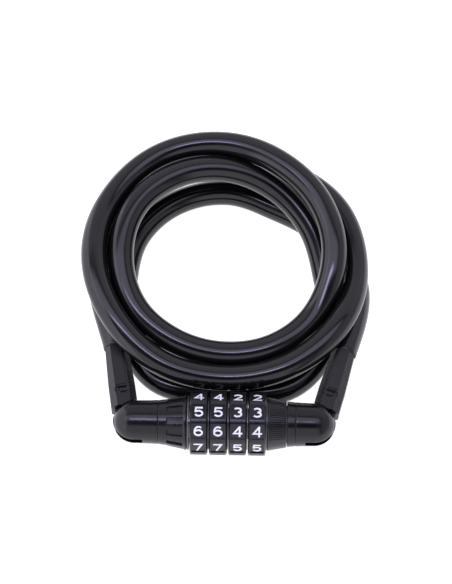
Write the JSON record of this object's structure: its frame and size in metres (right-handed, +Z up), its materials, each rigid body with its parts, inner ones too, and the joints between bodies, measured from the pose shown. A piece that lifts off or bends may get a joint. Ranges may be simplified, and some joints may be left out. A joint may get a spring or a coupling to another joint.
{
  "type": "cable lock",
  "caption": "Coiled steel cable in a thick plastic jacket, both ends pivoted on a straight combination lock head with rotating number dials.",
  "frame": {"origin": "on the surface the lock lies on, under the middle of the lock head (the cable, its arms and their fittings not counted)", "axes": "+X along the lock head from the plug end to the body end, +Y from the head to the middle of the cable coil, +Z up"},
  "size_m": [0.136, 0.1567, 0.0438],
  "materials": {
    "steel_core": "turned",
    "steel_dark": "satin black",
    "steel_pin": "ground",
    "steel_black": "satin black",
    "head_plastic": "satin black",
    "arm_plastic": "fine grain black",
    "ring_plastic": "satin black",
    "dial_plastic": "satin black",
    "numeral_white": "white paint",
    "brass_clutch": "machined",
    "seal_rubber": "matt",
    "cable_jacket": "smoky gloss",
    "cable_strand": "stranded"
  },
  "bodies": {
    "lock_body": {"core_tube": "steel_core", "mouth_flange": "steel_dark", "dial_washers": "steel_dark", "barrel_sleeve": "head_plastic", "body_cap": "head_plastic", "body_pivot_pin": "steel_pin", "core_retaining_ring": "steel_dark", "set_spring": "steel_dark", "set_stop_pin": "steel_pin", "detent_balls": "steel_pin", "detent_leaf": "steel_pin", "jacket_coil_1": "cable_jacket", "jacket_coil_2": "cable_jacket", "jacket_coil_3": "cable_jacket", "jacket_coil_4": "cable_jacket", "jacket_coil_5": "cable_jacket", "jacket_coil_6": "cable_jacket", "jacket_coil_7": "cable_jacket", "strand_coil": "cable_strand"},
    "setting_ring": {"set_ring": "ring_plastic", "set_cam": "brass_clutch"},
    "dial_a": {"dial_1": "dial_plastic", "numerals_1": "numeral_white", "clutch_1": "brass_clutch"},
    "dial_b": {"dial_2": "dial_plastic", "numerals_2": "numeral_white", "clutch_2": "brass_clutch"},
    "dial_c": {"dial_3": "dial_plastic", "numerals_3": "numeral_white", "clutch_3": "brass_clutch"},
    "dial_d": {"dial_4": "dial_plastic", "numerals_4": "numeral_white", "clutch_4": "brass_clutch"},
    "plug": {"plug_cap": "head_plastic", "plug_collar": "head_plastic", "plug_bolt": "steel_core", "bolt_cross_pin": "steel_pin", "plug_pivot_pin": "steel_pin", "plug_seal": "seal_rubber"},
    "left_arm": {"arm_left": "arm_plastic", "arm_fitting_left": "steel_black", "jacket_left": "cable_jacket", "strand_left": "cable_strand"},
    "right_arm": {"arm_right": "arm_plastic", "arm_fitting_right": "steel_black", "jacket_right": "cable_jacket", "strand_right": "cable_strand"}
  },
  "joints": [
    {"name": "plug_pull", "type": "slide", "parent": "lock_body", "child": "plug", "axis": [-1, 0, 0], "range_m": [0, 0.045]},
    {"name": "setting_ring_turn", "type": "hinge", "parent": "lock_body", "child": "setting_ring", "pos_m": [0.024, 0, 0.0148], "axis": [1, 0, 0], "range_deg": [0, 90]},
    {"name": "dial_a_turn", "type": "hinge", "parent": "lock_body", "child": "dial_a", "pos_m": [-0.01145, 0, 0.0148], "axis": [1, 0, 0], "continuous": true},
    {"name": "dial_b_turn", "type": "hinge", "parent": "lock_body", "child": "dial_b", "pos_m": [-0.00265, 0, 0.0148], "axis": [1, 0, 0], "continuous": true},
    {"name": "dial_c_turn", "type": "hinge", "parent": "lock_body", "child": "dial_c", "pos_m": [0.00615, 0, 0.0148], "axis": [1, 0, 0], "continuous": true},
    {"name": "dial_d_turn", "type": "hinge", "parent": "lock_body", "child": "dial_d", "pos_m": [0.01495, 0, 0.0148], "axis": [1, 0, 0], "continuous": true},
    {"name": "left_arm_swing", "type": "hinge", "parent": "plug", "child": "left_arm", "pos_m": [-0.0445, 0, 0.0148], "axis": [0, 0, 1], "range_deg": [0, 35]},
    {"name": "right_arm_swing", "type": "hinge", "parent": "lock_body", "child": "right_arm", "pos_m": [0.0445, 0, 0.0148], "axis": [0, 0, -1], "range_deg": [0, 35]}
  ]
}
